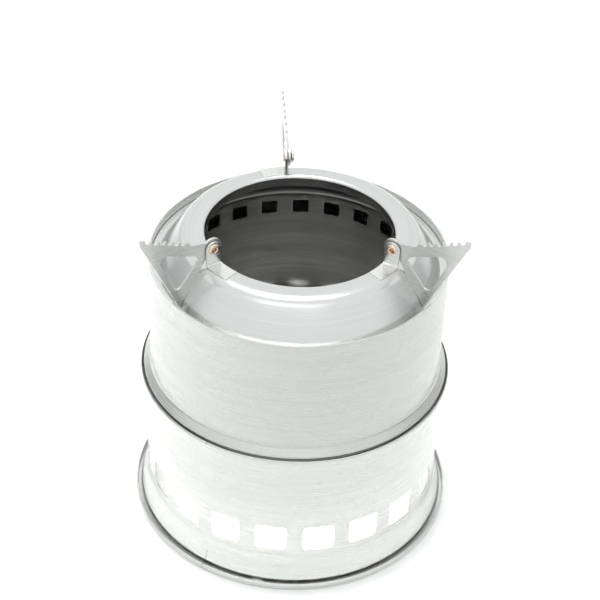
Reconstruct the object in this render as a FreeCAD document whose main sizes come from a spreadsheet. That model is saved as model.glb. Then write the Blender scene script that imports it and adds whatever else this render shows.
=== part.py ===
# Folding camp stove in sheet steel: a windowed base, a double-walled fire pot that stands in it, and a
# conical top ring with three pot arms that fold in over the fire.
# Origin: centre of the flat underside of the base. +Z is up and -Y is the front. Millimetres.
import FreeCAD, Part
import math
import os
import re
import Sketcher

os.makedirs("parts", exist_ok=True)
doc = FreeCAD.newDocument("CampStove")

# ---- driving dimensions ----------------------------------------------------------------------
SIZES = {
    "gauge": 0.7,               # sheet of every shell
    "lip_radius": 68.9,         # rolled rim of the base pan, the widest circle of the shells
    "lip_width": 0.8,
    "lip_height": 3.1,
    "lip_round": 0.3,
    "skirt_radius": 66.7,       # lower edge of the base wall, which stands inside the rim
    "skirt_edge": 3.5,
    "skirt_top": 12.0,
    "base_low_radius": 63.5,
    "base_top_radius": 61.9,
    "base_wall_top": 66.4,
    "socket_radius": 65.3,      # collar at the top of the base that takes the fire pot
    "socket_low": 68.1,
    "socket_top": 69.4,
    "window_count": 20,         # air windows round the base
    "window_width": 13.3,
    "window_tall": 12.3,
    "window_height": 24.4,
    "window_corner": 1.5,
    "window_turn": -6.35,
    "wall_radius": 61.0,        # outer wall of the fire pot
    "wall_top": 124.4,
    "flare_radius": 63.9,
    "flare_top": 73.3,
    "flare_low": 70.1,
    "flare_edge": 67.8,
    "flare_tuck": 0.9,          # the flare's lower edge turned in, to rest on the base's shelf
    "chamber_radius": 52.0,     # inside of the fire chamber
    "chamber_top": 119.0,
    "chamber_low": 62.0,
    "seat_radius": 47.0,
    "port_count": 24,           # air ports high in the fire chamber
    "port_width": 6.8,
    "port_tall": 6.3,
    "port_height": 111.4,
    "port_corner": 0.8,
    "port_turn": 0.3,
    "air_ring_top": 74.7,       # spacer ring between chamber and wall, with its own air holes
    "air_ring_low": 63.0,
    "air_hole_radius": 2.2,
    "air_hole_circle": 56.2,
    "air_hole_count": 24,
    "grate_radius": 51.7,
    "grate_gauge": 1.0,
    "grate_hole_radius": 2.6,
    "grate_ring_step": 11.0,
    "opening_radius": 38.7,     # mouth of the stove
    "mouth_drop": 3.7,
    "ring_top": 135.2,
    "shoulder_radius": 46.15,
    "shoulder_round": 2.2,
    "foot_radius": 57.15,
    "foot_top": 119.8,
    "foot_edge_radius": 60.0,
    "bracket_gauge": 1.0,
    "bracket_inner": 39.0,
    "bracket_outer": 45.4,
    "bracket_sweep": 16.5,      # angle that a bracket's foot covers on the ring
    "bracket_corner": 2.0,
    "bend_round": 0.8,
    "ear_radius": 3.25,
    "pivot_radius": 42.2,
    "pivot_height": 143.2,
    "pin_radius": 1.6,
    "pin_bore": 0.9,
    "pin_head_radius": 2.4,
    "pin_head": 0.7,
    "pin_head_round": 0.4,
    "running_gap": 0.05,        # play between the rivet and the arm's hole
    "side_gap": 0.1,            # play on each side of the arm
    "washer_radius": 2.9,
    "washer_gauge": 0.5,
    "arm_gauge": 1.2,
    "arm_offset": 0.6,          # middle of an arm's sheet from the stove's own axis
    "eye_radius": 4.2,
    "tip_radius": 73.9,         # outermost point of an arm
    "tip_height": 158.3,
    "tooth_angle": 22.6,
    "tooth_first": 3.9,
    "tooth_pitch": 3.3,
    "tooth_count": 7,
    "notch_radius": 1.2,
    "notch_sink": 0.2,
    "hole_corner": 1.9,
    "tip_round": 0.6,
}
ARMS = {"left": (216.4, 1), "right": (-29.1, -1), "rear": (97.5, 1)}  # azimuth, side of the ear

dims = doc.addObject("Spreadsheet::Sheet", "dims")
for row, (alias, size) in enumerate(SIZES.items(), start=1):
    dims.set(f"A{row}", alias.replace("_", " "))
    dims.set(f"B{row}", str(size))
    dims.setAlias(f"B{row}", alias)
doc.recompute()


# ---- helpers ---------------------------------------------------------------------------------
def bound(text):
    """The expression, with every name of a size read from the sheet."""
    return re.sub(r"[a-z]\w*", lambda word: f"dims.{word[0]}" if word[0] in SIZES else word[0], text)


def amount(text):
    """What the expression comes to, so that a sketch is drawn in its final shape."""
    value = dims.evalExpression(bound(text))
    return float(getattr(value, "Value", value))


def place(body, azimuth):
    body.Placement = FreeCAD.Placement(FreeCAD.Vector(0, 0, 0), turned(azimuth))


def turned(azimuth):
    return FreeCAD.Rotation(FreeCAD.Vector(0, 0, 1), azimuth)


def origin_feature(body, role):
    return next(item for item in body.Origin.OriginFeatures if item.Role == role)


def new_body(label):
    body = doc.addObject("PartDesign::Body", label)
    body.Label = label
    return body


def new_sketch(body, role, lift="0"):
    """A sketch on one of the body's own origin planes, lifted along the plane's normal."""
    sketch = body.newObject("Sketcher::SketchObject", f"{body.Name}_sketch")
    sketch.AttachmentSupport = [(origin_feature(body, role), "")]
    sketch.MapMode = "FlatFace"
    sketch.setExpression("AttachmentOffset.Base.z", bound(lift))
    return sketch


def hold(sketch, kind, geometry, end, text):
    """Tie one coordinate of a point in the sketch to an expression."""
    if text == "0":
        axis = -2 if kind == "DistanceX" else -1
        sketch.addConstraint(Sketcher.Constraint("PointOnObject", geometry, end, axis))
        return
    link = Sketcher.Constraint(kind, -1, 1, geometry, end, amount(text))
    name = f"{kind}_{geometry}_{end}"
    sketch.renameConstraint(sketch.addConstraint(link), name)
    sketch.setExpression(f"Constraints.{name}", bound(text))


def hold_point(sketch, geometry, end, place):
    hold(sketch, "DistanceX", geometry, end, place[0])
    hold(sketch, "DistanceY", geometry, end, place[1])


def hold_radius(sketch, geometry, text):
    link = Sketcher.Constraint("Radius", geometry, amount(text))
    name = f"radius_{geometry}"
    sketch.renameConstraint(sketch.addConstraint(link), name)
    sketch.setExpression(f"Constraints.{name}", bound(text))


def spot(place):
    return FreeCAD.Vector(amount(place[0]), amount(place[1]), 0)


def draw_outline(sketch, places):
    """A closed outline of straight lines through the places, each a pair of expressions."""
    count = len(places)
    for index in range(count):
        line = Part.LineSegment(spot(places[index]), spot(places[(index + 1) % count]))
        sketch.addGeometry(line, False)
    for index in range(count):
        following = (index + 1) % count
        sketch.addConstraint(Sketcher.Constraint("Coincident", index, 2, following, 1))
        hold_point(sketch, index, 1, places[index])


def draw_circle(sketch, place, radius):
    normal = FreeCAD.Vector(0, 0, 1)
    index = sketch.addGeometry(Part.Circle(spot(place), normal, amount(radius)), False)
    hold_point(sketch, index, 3, place)
    hold_radius(sketch, index, radius)


def feature(body, kind, sketch, name):
    item = body.newObject(f"PartDesign::{kind}", f"{body.Name}_{name}")
    item.Profile = sketch
    return item


def turn(body, places, name="turned"):
    """A full turn, about the body's Z axis, of an outline in radius and height."""
    sketch = new_sketch(body, "XZ_Plane")
    draw_outline(sketch, places)
    item = feature(body, "Revolution", sketch, name)
    item.ReferenceAxis = (sketch, ["V_Axis"])
    item.Angle = 360
    return item


def pad(body, sketch, depth, name, side="Symmetric"):
    item = feature(body, "Pad", sketch, name)
    item.SideType = side
    item.setExpression("Length", bound(depth))
    return item


def cut_through(body, sketch, name, side="Symmetric"):
    """Cut the sketch right through, and make sure that it does take metal away."""
    doc.recompute()
    before = body.Tip.Shape.Volume
    item = feature(body, "Pocket", sketch, name)
    item.Type = "ThroughAll"
    item.SideType = side
    doc.recompute()
    if item.Shape.Volume > before - 0.1:
        raise ValueError(f"{item.Name} cuts nothing")
    return item


def polar(body, original, count, name):
    """Copies of a cut round the body's Z axis."""
    item = body.newObject("PartDesign::PolarPattern", f"{body.Name}_{name}")
    item.Originals = [original]
    item.Axis = (origin_feature(body, "Z_Axis"), [""])
    item.Angle = 360
    item.setExpression("Occurrences", bound(count))
    body.Tip = item
    return item


def fillet(body, radius, wanted, name):
    """Round the edges of the body so far that the test picks out."""
    doc.recompute()
    base = body.Tip
    edges = base.Shape.Edges
    names = [f"Edge{index}" for index, edge in enumerate(edges, start=1) if wanted(edge)]
    if not names:
        raise ValueError(f"no edge of {body.Name} for {name}")
    item = body.newObject("PartDesign::Fillet", f"{body.Name}_{name}")
    item.Base = (base, names)
    item.setExpression("Radius", bound(radius))
    return item


def close(first, second):
    return abs(first - second) < 1e-3


def ring_edge(radius, height):
    """A test for the full circles of a turned shape, by radius and height."""
    def test(edge):
        curve = edge.Curve
        round_edge = isinstance(curve, Part.Circle)
        return round_edge and close(curve.Radius, amount(radius)) and close(curve.Center.z, amount(height))
    return test


def upright_edge(place_xy):
    """A test for the upright edge at a place in X and Y."""
    x, y = amount(place_xy[0]), amount(place_xy[1])

    def test(edge):
        low, high = edge.Vertexes[0].Point, edge.Vertexes[-1].Point
        upright = close(low.x, high.x) and close(low.y, high.y) and not close(low.z, high.z)
        return upright and abs(low.x - x) < 0.01 and abs(low.y - y) < 0.01
    return test


def cross_edge(places):
    """A test for straight edges along Y that stand at one of the places in X and Z."""
    spots = [(amount(x), amount(z)) for x, z in places]

    def test(edge):
        low, high = edge.Vertexes[0].Point, edge.Vertexes[-1].Point
        across = close(low.x, high.x) and close(low.z, high.z) and not close(low.y, high.y)
        return across and any(abs(low.x - x) < 0.01 and abs(low.z - z) < 0.01 for x, z in spots)
    return test


def draw_window(sketch, width, tall, height, corner):
    """A rectangle with round corners, centred over the sketch's origin at the height."""
    left, right = f"0 - {width} / 2", f"{width} / 2"
    low, high = f"{height} - {tall} / 2", f"{height} + {tall} / 2"
    lines = [
        ((f"{left} + {corner}", low), (f"{right} - {corner}", low)),
        ((right, f"{low} + {corner}"), (right, f"{high} - {corner}")),
        ((f"{right} - {corner}", high), (f"{left} + {corner}", high)),
        ((left, f"{high} - {corner}"), (left, f"{low} + {corner}")),
    ]
    for index, (begin, end) in enumerate(lines):
        sketch.addGeometry(Part.LineSegment(spot(begin), spot(end)), False)
        hold_point(sketch, index, 1, begin)
        hold_point(sketch, index, 2, end)
    middles = [
        (f"{right} - {corner}", f"{low} + {corner}"), (f"{right} - {corner}", f"{high} - {corner}"),
        (f"{left} + {corner}", f"{high} - {corner}"), (f"{left} + {corner}", f"{low} + {corner}"),
    ]
    for index, middle in enumerate(middles):
        circle = Part.Circle(spot(middle), FreeCAD.Vector(0, 0, 1), amount(corner))
        begin = math.pi / 2 * (index - 1)
        arc = sketch.addGeometry(Part.ArcOfCircle(circle, begin, begin + math.pi / 2), False)
        sketch.addConstraint(Sketcher.Constraint("Coincident", index, 2, arc, 1))
        sketch.addConstraint(Sketcher.Constraint("Coincident", arc, 2, (index + 1) % 4, 1))
        hold_radius(sketch, arc, corner)


def windows(body, width, tall, height, corner, count):
    """A row of round-cornered windows through a turned wall."""
    sketch = new_sketch(body, "XZ_Plane")
    draw_window(sketch, width, tall, height, corner)
    polar(body, cut_through(body, sketch, "window", "One side"), count, "windows")


def hole_circle(body, circle, radius, count, name):
    """Round holes through a flat plate, evenly spaced on a circle about the axis."""
    sketch = new_sketch(body, "XY_Plane")
    draw_circle(sketch, (circle, "0"), radius)
    polar(body, cut_through(body, sketch, name), count, f"{name}s")


# ---- base ------------------------------------------------------------------------------------
def make_base_pan():
    """Floor of the stove, with the rolled rim that it stands on."""
    body = new_body("base_pan")
    rim_inside = "lip_radius - lip_width"
    turn(body, [
        ("0", "0"), ("lip_radius", "0"), ("lip_radius", "lip_height"),
        (rim_inside, "lip_height"), (rim_inside, "gauge"), ("0", "gauge"),
    ])
    fillet(body, "lip_round", ring_edge("lip_radius", "lip_height"), "rim")
    return body


def make_base_shell():
    """Wall of the base: skirt, air windows and the collar that takes the fire pot."""
    body = new_body("base_shell")
    turn(body, [
        ("skirt_radius", "gauge"), ("skirt_radius", "skirt_edge"), ("base_low_radius", "skirt_top"),
        ("base_top_radius", "base_wall_top"), ("socket_radius", "socket_low"),
        ("socket_radius", "socket_top"), ("socket_radius - gauge", "socket_top"),
        ("socket_radius - gauge", "socket_low + gauge / 2"),
        ("base_top_radius - gauge", "base_wall_top + gauge / 2"),
        ("base_low_radius - gauge", "skirt_top"), ("skirt_radius - gauge", "skirt_edge"),
        ("skirt_radius - gauge", "gauge"),
    ])
    windows(body, "window_width", "window_tall", "window_height", "window_corner", "window_count")
    place(body, amount("window_turn"))
    return body


# ---- fire pot --------------------------------------------------------------------------------
def make_upper_shell():
    """Outer wall of the fire pot, flared at its foot to stand in the base's collar."""
    body = new_body("upper_shell")
    turn(body, [
        ("flare_radius - flare_tuck", "flare_edge"), ("flare_radius", "flare_low"),
        ("wall_radius", "flare_top"), ("wall_radius", "wall_top"),
        ("wall_radius - gauge", "wall_top"), ("wall_radius - gauge", "flare_top + gauge / 3"),
        ("flare_radius - gauge", "flare_low + gauge / 3"),
        ("flare_radius - flare_tuck - gauge", "flare_edge"),
    ])
    return body


def make_fire_chamber():
    """Inner wall: a flange that shuts the gap between the walls, air ports, and the grate's seat."""
    body = new_body("fire_chamber")
    outside = "chamber_radius + gauge"
    flange = "wall_radius - gauge"
    turn(body, [
        ("chamber_radius", "chamber_top"), (flange, "chamber_top"), (flange, "chamber_top - gauge"),
        (outside, "chamber_top - gauge"), (outside, "chamber_low"), ("seat_radius", "chamber_low"),
        ("seat_radius", "chamber_low + gauge"), ("chamber_radius", "chamber_low + gauge"),
    ])
    windows(body, "port_width", "port_tall", "port_height", "port_corner", "port_count")
    place(body, amount("port_turn"))
    return body


def make_air_ring():
    """Spacer between the two walls, with holes for the air and a collar that centres the pot."""
    body = new_body("air_ring")
    outside = "wall_radius - gauge"
    inside = "chamber_radius + gauge"
    turn(body, [
        (inside, "air_ring_top"), (outside, "air_ring_top"), (outside, "air_ring_low"),
        (f"{outside} - gauge", "air_ring_low"), (f"{outside} - gauge", "air_ring_top - gauge"),
        (inside, "air_ring_top - gauge"),
    ])
    hole_circle(body, "air_hole_circle", "air_hole_radius", "air_hole_count", "air_hole")
    return body


def make_fire_grate():
    """Perforated floor of the fire chamber, with rings of holes about a middle one."""
    body = new_body("fire_grate")
    low = "chamber_low + gauge"
    high = "chamber_low + gauge + grate_gauge"
    turn(body, [("0", low), ("grate_radius", low), ("grate_radius", high), ("0", high)])
    middle = new_sketch(body, "XY_Plane")
    draw_circle(middle, ("0", "0"), "grate_hole_radius")
    cut_through(body, middle, "middle_hole")
    for ring in range(1, 5):
        circle = f"{ring} * grate_ring_step"
        hole_circle(body, circle, "grate_hole_radius", str(6 * ring), f"ring{ring}_hole")
    return body


# ---- top -------------------------------------------------------------------------------------
def make_top_cone():
    """Mouth ring, cone and foot in one sheet, which drops inside the fire pot's wall."""
    body = new_body("top_cone")
    slope = "atan((ring_top - foot_top) / (foot_radius - shoulder_radius))"
    miter = f"gauge * tan({slope} / 2)"
    turn(body, [
        ("opening_radius", "ring_top - mouth_drop"), ("opening_radius", "ring_top"),
        ("shoulder_radius", "ring_top"), ("foot_radius", "foot_top"), ("foot_edge_radius", "foot_top"),
        ("foot_edge_radius", "foot_top - gauge"), (f"foot_radius - {miter}", "foot_top - gauge"),
        (f"shoulder_radius - {miter}", "ring_top - gauge"),
        ("opening_radius + gauge", "ring_top - gauge"),
        ("opening_radius + gauge", "ring_top - mouth_drop"),
    ])
    outer = ring_edge("shoulder_radius", "ring_top")
    inner = ring_edge(f"shoulder_radius - {miter}", "ring_top - gauge")
    mouth = ring_edge("opening_radius", "ring_top")
    fillet(body, "shoulder_round", outer, "shoulder")
    fillet(body, "shoulder_round - gauge", inner, "shoulder_inside")
    fillet(body, "bend_round", mouth, "mouth")
    return body


ARM_FACE = "arm_offset + arm_gauge / 2 + side_gap"      # the face of the ear that looks at the arm


def make_bracket(name, azimuth, side):
    """Spot-welded angle: a foot that follows the mouth ring and an upright ear for the rivet."""
    body = new_body(f"bracket_{name}")
    sketch = new_sketch(body, "XY_Plane", "ring_top")
    near = f"{side} * ({ARM_FACE})"
    radii = ("bracket_inner", "bracket_outer")
    sweep = "bracket_sweep * 1 deg"
    begins = [(f"sqrt({radius} ^ 2 - ({ARM_FACE}) ^ 2)", near) for radius in radii]
    ends = [(f"{radius} * cos({sweep})", f"{side} * {radius} * sin({sweep})") for radius in radii]
    for index, pair in enumerate((begins, ends)):
        sketch.addGeometry(Part.LineSegment(spot(pair[0]), spot(pair[1])), False)
        hold_point(sketch, index, 1, pair[0])
        hold_point(sketch, index, 2, pair[1])
    for index, radius in enumerate(radii):
        circle = Part.Circle(FreeCAD.Vector(0, 0, 0), FreeCAD.Vector(0, 0, 1), amount(radius))
        angles = [math.atan2(amount(p[1]), amount(p[0])) for p in (begins[index], ends[index])]
        arc = sketch.addGeometry(Part.ArcOfCircle(circle, min(angles), max(angles)), False)
        low_line, high_line = (0, 1) if side > 0 else (1, 0)
        sketch.addConstraint(Sketcher.Constraint("Coincident", low_line, index + 1, arc, 1))
        sketch.addConstraint(Sketcher.Constraint("Coincident", high_line, index + 1, arc, 2))
        hold_radius(sketch, arc, radius)
    pad(body, sketch, "bracket_gauge", "foot", "One side")
    fillet(body, "bracket_corner", upright_edge(ends[1]), "foot_corner")

    lift = f"0 - {side} * ({ARM_FACE} + bracket_gauge / 2)"
    ear = new_sketch(body, "XZ_Plane", lift)
    left, right = "pivot_radius - ear_radius", "pivot_radius + ear_radius"
    low, high = "ring_top", "pivot_height"
    draw_outline(ear, [(left, low), (right, low), (right, high), (left, high)])
    pad(body, ear, "bracket_gauge", "ear")
    eye = new_sketch(body, "XZ_Plane", lift)
    draw_circle(eye, ("pivot_radius", "pivot_height"), "ear_radius")
    pad(body, eye, "bracket_gauge", "ear_top")
    bore = new_sketch(body, "XZ_Plane", lift)
    draw_circle(bore, ("pivot_radius", "pivot_height"), "pin_radius")
    cut_through(body, bore, "rivet_hole")
    place(body, azimuth)
    return body


# ---- pot arms --------------------------------------------------------------------------------
ARM_OUTLINE = [                     # in distance from the stove's axis and height
    (57.3, 120.4), (74.0, 155.6), "tip", "last_tooth", (52.0, 147.7), (45.0, 145.7),
    (42.2, 146.0), (42.2, 140.0), (45.9, 138.0), (47.3, 135.2), (48.4, 132.8),
]


def make_arm(name, azimuth, side):
    """Pot arm: toothed top edge, lightening hole and a round eye that turns on the rivet."""
    body = new_body(f"pot_arm_{name}")
    lift = f"0 - {side} * arm_offset"
    tooth_run = "(tooth_first + (tooth_count - 1.25) * tooth_pitch)"
    last_tooth = (
        f"tip_radius - {tooth_run} * cos(tooth_angle * 1 deg)",
        f"tip_height - {tooth_run} * sin(tooth_angle * 1 deg)",
    )
    named = {"tip": ("tip_radius", "tip_height"), "last_tooth": last_tooth}
    corners = [named[item] if item in named else (str(item[0]), str(item[1])) for item in ARM_OUTLINE]
    plate = new_sketch(body, "XZ_Plane", lift)
    draw_outline(plate, corners)
    pad(body, plate, "arm_gauge", "plate")
    fillet(body, "tip_round", cross_edge([named["tip"]]), "tip")
    eye = new_sketch(body, "XZ_Plane", lift)
    draw_circle(eye, ("pivot_radius", "pivot_height"), "eye_radius")
    pad(body, eye, "arm_gauge", "eye")
    opening = new_sketch(body, "XZ_Plane", lift)
    triangle = [("67.6", "149.1"), ("47.3", "141.0"), ("58.4", "127.6")]
    draw_outline(opening, triangle)
    cut_through(body, opening, "opening")
    fillet(body, "hole_corner", cross_edge(triangle), "opening_corners")
    notch = new_sketch(body, "XZ_Plane", lift)
    notch.setExpression("AttachmentOffset.Base.x", bound("tip_radius"))
    notch.setExpression("AttachmentOffset.Base.y", bound("tip_height"))
    notch.AttachmentOffset.Rotation = FreeCAD.Rotation(FreeCAD.Vector(0, 0, 1), amount("tooth_angle"))
    draw_circle(notch, ("0 - tooth_first", "0 - notch_sink"), "notch_radius")
    first = cut_through(body, notch, "notch")
    row = body.newObject("PartDesign::LinearPattern", f"{body.Name}_notches")
    row.Originals = [first]
    row.Direction = (notch, ["H_Axis"])
    row.Reversed = True
    row.setExpression("Length", bound("(tooth_count - 2) * tooth_pitch"))
    row.setExpression("Occurrences", bound("tooth_count - 1"))
    body.Tip = row
    bore = new_sketch(body, "XZ_Plane", lift)
    draw_circle(bore, ("pivot_radius", "pivot_height"), "pin_radius + running_gap")
    cut_through(body, bore, "bore")
    place(body, azimuth)
    return body


def place_on_pivot(body, azimuth, side):
    """Stand a turned piece's own Z axis on the pivot, pointing from the arm to the ear."""
    middle = turned(azimuth).multVec(
        FreeCAD.Vector(amount("pivot_radius"), side * amount("arm_offset"), amount("pivot_height"))
    )
    tilt = FreeCAD.Rotation(FreeCAD.Vector(1, 0, 0), -90 * side)
    body.Placement = FreeCAD.Placement(middle, turned(azimuth) * tilt)


WASHER_TOP = "0 - arm_gauge / 2 - side_gap"
EAR_TOP = "arm_gauge / 2 + side_gap + bracket_gauge"


def make_rivet(name, azimuth, side):
    """Hollow rivet through washer, arm and ear, with a rolled head at each end."""
    body = new_body(f"rivet_{name}")
    tail_top = f"{WASHER_TOP} - washer_gauge"
    turn(body, [
        ("pin_bore", f"{tail_top} - pin_head"), ("pin_head_radius", f"{tail_top} - pin_head"),
        ("pin_head_radius", tail_top), ("pin_radius", tail_top), ("pin_radius", EAR_TOP),
        ("pin_head_radius", EAR_TOP), ("pin_head_radius", f"{EAR_TOP} + pin_head"),
        ("pin_bore", f"{EAR_TOP} + pin_head"),
    ])
    head = ring_edge("pin_head_radius", f"{EAR_TOP} + pin_head")
    tail = ring_edge("pin_head_radius", f"{tail_top} - pin_head")
    fillet(body, "pin_head_round", lambda edge: head(edge) or tail(edge), "heads")
    place_on_pivot(body, azimuth, side)
    return body


def make_washer(name, azimuth, side):
    """Plain washer between the arm and the rivet's rolled tail."""
    body = new_body(f"washer_{name}")
    low = f"{WASHER_TOP} - washer_gauge"
    turn(body, [
        ("pin_radius", low), ("washer_radius", low), ("washer_radius", WASHER_TOP),
        ("pin_radius", WASHER_TOP),
    ])
    place_on_pivot(body, azimuth, side)
    return body


# ---- build, check and write ------------------------------------------------------------------
pieces = [
    make_base_pan(), make_base_shell(),
    make_upper_shell(), make_fire_chamber(), make_air_ring(), make_fire_grate(),
    make_top_cone(),
]
for arm_name, (arm_azimuth, ear_side) in ARMS.items():
    for make in (make_bracket, make_arm, make_rivet, make_washer):
        pieces.append(make(arm_name, arm_azimuth, ear_side))
doc.recompute()

faults = [item.Name for item in doc.Objects if {"Invalid", "Error"} & set(item.State)]
faults += [piece.Label for piece in pieces if piece.Shape.isNull() or not piece.Shape.isValid()]
if faults:
    raise RuntimeError(f"failed: {faults}")
for piece in pieces:
    piece.Shape.exportStep(f"parts/{piece.Label}.step")
    print(piece.Label, round(piece.Shape.Volume, 1), len(piece.Shape.Solids))
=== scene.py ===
from math import asin, cos, hypot, pi, radians, sin

import bmesh
import bpy
from mathutils import Matrix, Vector


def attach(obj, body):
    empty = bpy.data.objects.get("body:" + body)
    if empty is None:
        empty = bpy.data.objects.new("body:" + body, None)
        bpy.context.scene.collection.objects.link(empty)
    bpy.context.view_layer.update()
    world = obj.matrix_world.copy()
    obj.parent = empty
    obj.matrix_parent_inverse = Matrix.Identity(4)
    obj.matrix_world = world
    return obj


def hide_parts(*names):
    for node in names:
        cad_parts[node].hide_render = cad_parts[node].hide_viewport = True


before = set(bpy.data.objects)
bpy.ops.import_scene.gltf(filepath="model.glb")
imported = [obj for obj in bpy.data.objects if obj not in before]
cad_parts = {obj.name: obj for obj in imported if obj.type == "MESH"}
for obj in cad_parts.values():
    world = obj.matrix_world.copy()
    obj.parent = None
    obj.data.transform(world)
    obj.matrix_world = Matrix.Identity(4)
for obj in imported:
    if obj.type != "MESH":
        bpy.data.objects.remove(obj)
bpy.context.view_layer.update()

mm = 0.001  # every length below is in millimetres until it is multiplied by this
sceneRoot = bpy.context.scene.collection
bpy.context.scene.view_settings.view_transform = "Standard"


# camera
camera = {
    "lens": 98.02,
    "distance": 675.2,
    "elevation": 37.52,
    "roll": 2.334,
    "aim": (1.14, 0.0, 99.83),
}

cameraData = bpy.data.cameras.new("camera")
cameraData.lens = camera["lens"]
cameraData.sensor_width = 36
cameraData.clip_start = 0.01
cameraData.clip_end = 20
cameraObject = bpy.data.objects.new("camera", cameraData)
sceneRoot.objects.link(cameraObject)
cameraObject.matrix_world = (
    Matrix.Translation(Vector(camera["aim"]) * mm)
    @ Matrix.Rotation(radians(90 - camera["elevation"]), 4, "X")
    @ Matrix.Rotation(radians(camera["roll"]), 4, "Z")
    @ Matrix.Translation((0, 0, camera["distance"] * mm))
)
bpy.context.scene.camera = cameraObject
print("camera in place")


# steel that was spun or rolled: the grain runs round the stove's axis
def turnedSteel(name, look):
    material = bpy.data.materials.new(name)
    material.use_nodes = True
    nodes = material.node_tree.nodes
    links = material.node_tree.links
    nodes.clear()

    grainFrame = nodes.new("NodeFrame")
    grainFrame.label = "Brushed grain round the axis"
    wearFrame = nodes.new("NodeFrame")
    wearFrame.label = "Handling marks and sheet waves"
    seamFrame = nodes.new("NodeFrame")
    seamFrame.label = "Painted light on the inner side, and the joint where the sheet's ends meet"
    finishFrame = nodes.new("NodeFrame")
    finishFrame.label = "Steel"

    place = nodes.new("ShaderNodeTexCoord")
    place.label = "Place on the stove"
    place.location = (-1500, 0)
    flat = nodes.new("ShaderNodeVectorMath")
    flat.label = "Leave the height out"
    flat.location = (-1320, 160)
    reach = nodes.new("ShaderNodeVectorMath")
    reach.label = "Distance from the axis"
    reach.location = (-1140, 160)
    split = nodes.new("ShaderNodeSeparateXYZ")
    split.label = "Height alone"
    split.location = (-1320, -20)
    along = nodes.new("ShaderNodeMath")
    along.label = "Along the profile"
    along.location = (-960, 60)
    laid = nodes.new("ShaderNodeCombineXYZ")
    laid.label = "Round and along"
    laid.location = (-780, 60)
    stretch = nodes.new("ShaderNodeMapping")
    stretch.label = "Long thin scratches"
    stretch.location = (-600, 140)
    grain = nodes.new("ShaderNodeTexNoise")
    grain.label = "Fine grain"
    grain.location = (-420, 200)
    widen = nodes.new("ShaderNodeMapping")
    widen.label = "Broader belts"
    widen.location = (-600, -220)
    belts = nodes.new("ShaderNodeTexNoise")
    belts.label = "Belts left by the wheel"
    belts.location = (-420, -60)
    marks = nodes.new("ShaderNodeTexNoise")
    marks.label = "Fingers and cloth"
    marks.location = (-420, -330)
    waves = nodes.new("ShaderNodeTexNoise")
    waves.label = "Waves in the sheet"
    waves.location = (-420, -560)
    grainTone = nodes.new("ShaderNodeMapRange")
    grainTone.label = "Grain to tone"
    grainTone.location = (-200, 240)
    beltTone = nodes.new("ShaderNodeMapRange")
    beltTone.label = "Belts to tone"
    beltTone.location = (-200, -20)
    toneSum = nodes.new("ShaderNodeMath")
    toneSum.label = "Tone of the steel"
    toneSum.location = (-20, 140)
    # painted light: faces nearer the axis than the given radius, the sheet's inner side, get their tone
    # multiplied by the inner factor (1 leaves them as they are)
    inner = nodes.new("ShaderNodeMapRange")
    inner.label = "Painted light on the inner side"
    inner.location = (-420, 640)
    turnedTo = nodes.new("ShaderNodeMapping")
    turnedTo.label = "Turn to the seam"
    turnedTo.location = (-780, 860)
    nearSeam = nodes.new("ShaderNodeSeparateXYZ")
    nearSeam.label = "Beside the seam"
    nearSeam.location = (-600, 860)
    beside = nodes.new("ShaderNodeMath")
    beside.label = "Either side"
    beside.location = (-420, 900)
    seamLine = nodes.new("ShaderNodeMapRange")
    seamLine.label = "Line of the joint"
    seamLine.location = (-240, 900)
    seamSide = nodes.new("ShaderNodeMapRange")
    seamSide.label = "Where the joint shows"
    seamSide.location = (-240, 700)
    seam = nodes.new("ShaderNodeMath")
    seam.label = "Joint in the sheet"
    seam.location = (-60, 800)
    # the painted inner light, less the real dark joint in the sheet
    shade = nodes.new("ShaderNodeMath")
    shade.label = "Painted inner light and joint"
    shade.location = (120, 640)
    shaded = nodes.new("ShaderNodeMath")
    shaded.label = "Tone with painted inner light and joint"
    shaded.location = (160, 320)
    tint = nodes.new("ShaderNodeVectorMath")
    tint.label = "Steel colour"
    tint.location = (340, 200)
    markRough = nodes.new("ShaderNodeMapRange")
    markRough.label = "Marks to roughness"
    markRough.location = (-200, -300)
    grainRough = nodes.new("ShaderNodeMapRange")
    grainRough.label = "Grain to roughness"
    grainRough.location = (-200, -500)
    roughSum = nodes.new("ShaderNodeMath")
    roughSum.label = "Roughness"
    roughSum.location = (-20, -380)
    waveBump = nodes.new("ShaderNodeBump")
    waveBump.label = "Sheet waves"
    waveBump.location = (160, -560)
    grainBump = nodes.new("ShaderNodeBump")
    grainBump.label = "Grain relief"
    grainBump.location = (340, -420)
    turnX = nodes.new("ShaderNodeSeparateXYZ")
    turnX.label = "Where round the axis"
    turnX.location = (-960, 420)
    back = nodes.new("ShaderNodeMath")
    back.label = "Other way"
    back.location = (-780, 480)
    lay = nodes.new("ShaderNodeCombineXYZ")
    lay.label = "Grain direction"
    lay.location = (-600, 440)
    layWorld = nodes.new("ShaderNodeVectorTransform")
    layWorld.label = "Grain direction in the scene"
    layWorld.location = (-420, 440)
    steel = nodes.new("ShaderNodeBsdfPrincipled")
    steel.label = "Stainless steel"
    steel.location = (560, 160)
    output = nodes.new("ShaderNodeOutputMaterial")
    output.label = "Surface"
    output.location = (860, 160)

    for node in (
        flat, reach, split, along, laid, stretch, grain, grainTone, grainBump, turnX, back, lay, layWorld,
    ):
        node.parent = grainFrame
    for node in (widen, belts, marks, waves, beltTone, markRough, grainRough, roughSum, waveBump):
        node.parent = wearFrame
    for node in (inner, turnedTo, nearSeam, beside, seamLine, seamSide, seam, shade):
        node.parent = seamFrame
    for node in (toneSum, shaded, tint, steel, output):
        node.parent = finishFrame

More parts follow.
